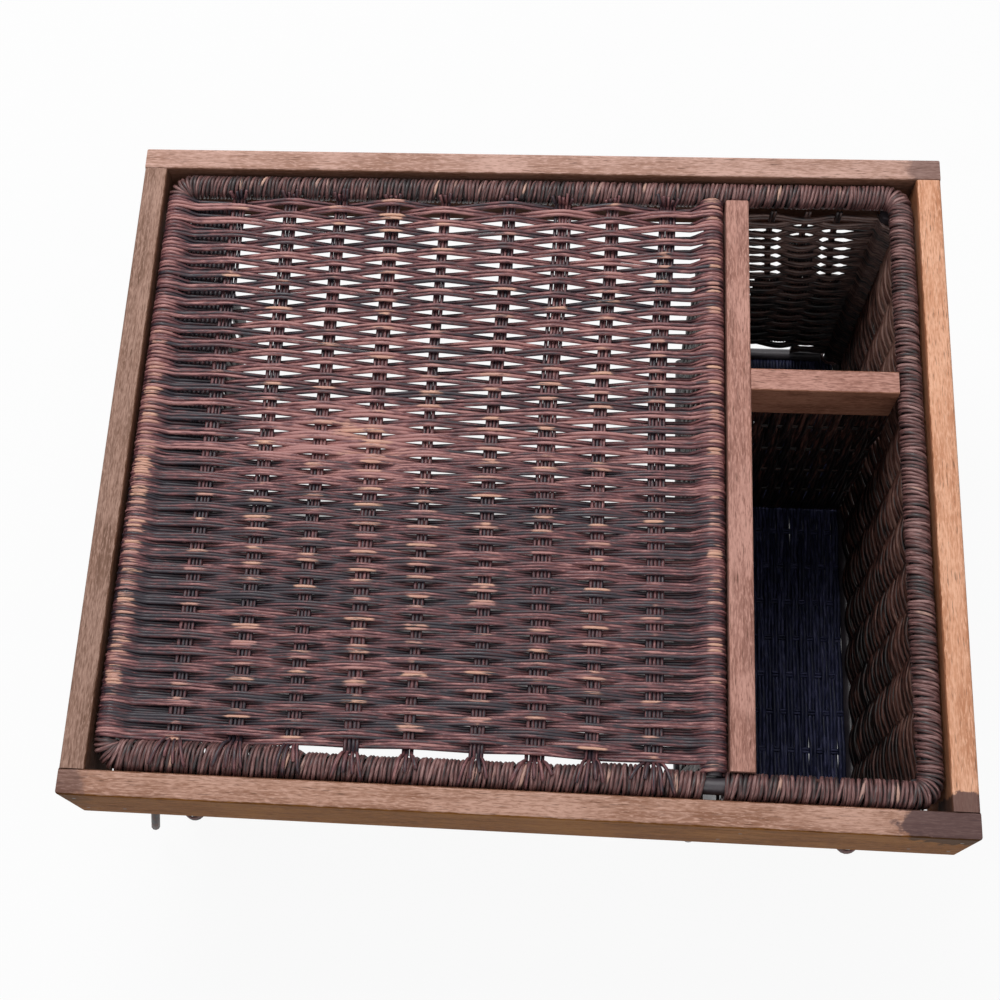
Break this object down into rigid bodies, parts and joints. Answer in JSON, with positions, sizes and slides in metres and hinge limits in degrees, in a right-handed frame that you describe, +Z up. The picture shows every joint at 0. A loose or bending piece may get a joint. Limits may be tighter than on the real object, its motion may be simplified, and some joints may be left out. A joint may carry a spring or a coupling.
{
  "type": "utensil caddy",
  "caption": "Woven cane caddy: a flat plate deck beside deep utensil wells with a wooden divider and cross bar, inside a gallery of worn boards.",
  "frame": {"origin": "on the ground, under the middle of the gallery of boards", "axes": "+Z up, +X along the wide side towards the wells, the front faces -Y"},
  "size_m": [0.432, 0.36, 0.195],
  "materials": {
    "board_wood": "worn stained wood, satin",
    "bar_wood": "worn stained wood, satin",
    "cane_weave": "dark stained cane, satin",
    "cane_binding": "dark stained cane, satin",
    "rod_cane": "smooth dark stained rod, satin",
    "brad_steel": "dulled steel"
  },
  "bodies": {
    "root": {"front_board": "board_wood", "rear_board": "board_wood", "left_board": "board_wood", "right_board": "board_wood", "corner_brads": "brad_steel", "post_brads": "brad_steel", "bar_brads": "brad_steel", "divider_bar": "bar_wood", "cross_bar": "bar_wood", "rim_rod": "rod_cane", "rim_binding_front": "cane_binding", "rim_binding_rear": "cane_binding", "rim_binding_wells": "cane_binding", "deck_edge_rod": "rod_cane", "left_foot_rod": "rod_cane", "wells_left_foot_rod": "rod_cane", "wells_right_foot_rod": "rod_cane", "wells_front_foot_rod": "rod_cane", "wells_rear_foot_rod": "rod_cane", "left_front_post": "rod_cane", "left_rear_post": "rod_cane", "middle_front_post": "rod_cane", "middle_rear_post": "rod_cane", "right_front_post": "rod_cane", "right_rear_post": "rod_cane", "post_feet": "cane_binding", "deck_stakes": "cane_weave", "deck_weave": "cane_weave", "left_wall_stakes": "cane_weave", "left_wall_weave": "cane_weave", "wells_left_wall_stakes": "cane_weave", "wells_left_wall_weave": "cane_weave", "wells_front_wall_stakes": "cane_weave", "wells_front_wall_weave": "cane_weave", "wells_rear_wall_stakes": "cane_weave", "wells_rear_wall_weave": "cane_weave", "wells_right_wall_stakes": "cane_weave", "wells_right_wall_weave": "cane_weave", "wells_floor_stakes": "cane_weave", "wells_floor_weave": "cane_weave", "wells_partition_stakes": "cane_weave", "wells_partition_weave": "cane_weave"}
  },
  "joints": []
}
